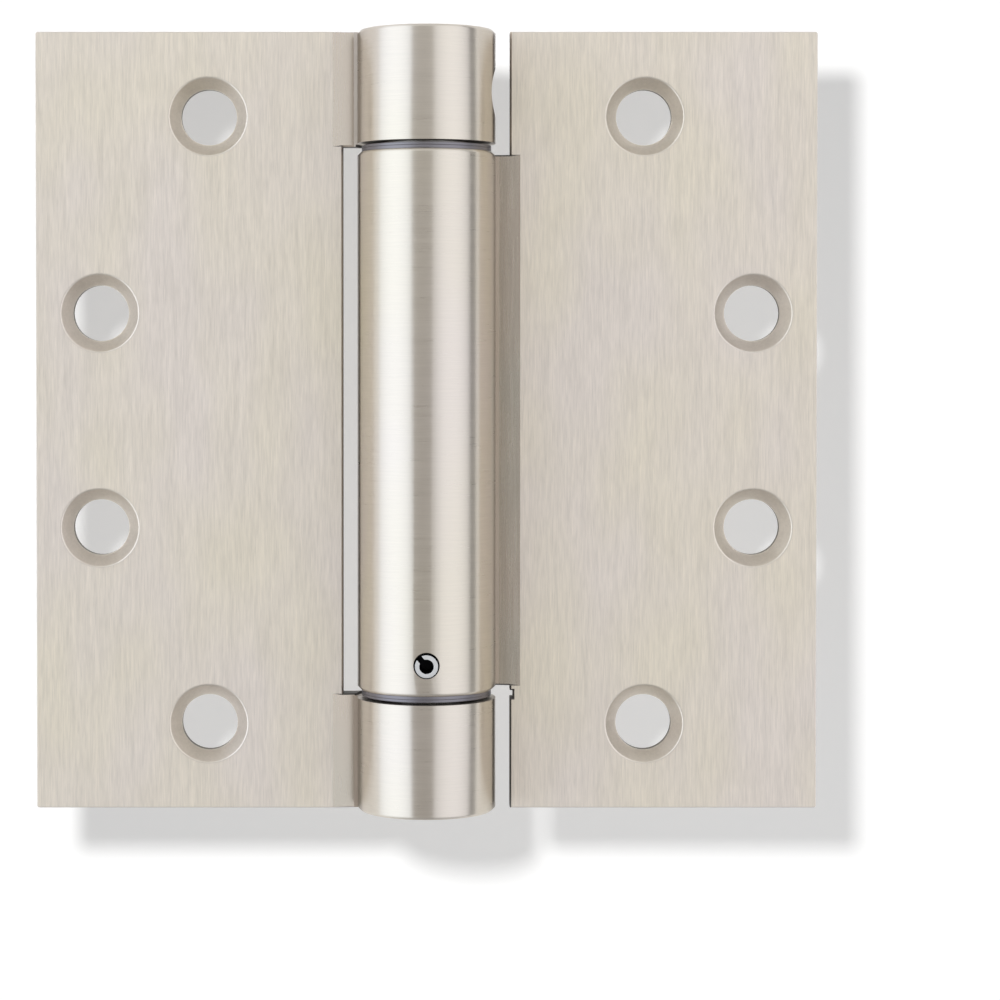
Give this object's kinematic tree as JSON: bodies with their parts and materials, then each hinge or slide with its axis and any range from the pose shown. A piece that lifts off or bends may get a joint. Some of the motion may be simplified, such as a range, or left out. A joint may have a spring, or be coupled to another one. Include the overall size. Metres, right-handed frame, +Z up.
{
  "type": "spring loaded door hinge",
  "caption": "Full mortise door hinge, open flat: two square-cornered countersunk leaves on a thick barrel that holds a torsion spring and its adjuster.",
  "frame": {"origin": "on the pin axis at the barrel's mid height, which is the centre of the bounding box", "axes": "+Z up along the pin axis, the countersunk faces look along -Y, the frame leaf lies along -X and the door leaf along +X"},
  "size_m": [0.115, 0.0203, 0.1142],
  "materials": {
    "satin_nickel": "satin nickel plate, brushed",
    "turned_steel": "turned steel",
    "spring_steel": "oiled spring steel",
    "sintered_bronze": "sintered bronze",
    "washer_steel": "hardened steel",
    "zinc_steel": "zinc plated"
  },
  "bodies": {
    "frame_side": {"frame_leaf": "satin_nickel", "lower_pintle": "turned_steel", "retaining_ring": "spring_steel"},
    "door_side": {"door_leaf": "satin_nickel", "upper_bush": "sintered_bronze", "thrust_washers": "washer_steel", "shim_washers": "washer_steel", "torsion_spring": "spring_steel", "spring_anchor": "turned_steel", "roll_pin": "zinc_steel"},
    "adjuster": {"tension_adjuster": "turned_steel"}
  },
  "joints": [
    {"name": "door_swing", "type": "hinge", "parent": "frame_side", "child": "door_side", "pos_m": [0, 0, 0], "axis": [0, 0, -1], "range_deg": [0, 180], "deforming": ["torsion_spring"]},
    {"name": "adjuster_turn", "type": "hinge", "parent": "frame_side", "child": "adjuster", "pos_m": [0, 0, 0.048], "axis": [0, 0, -1], "range_deg": [0, 180], "deforming": ["torsion_spring"]}
  ]
}
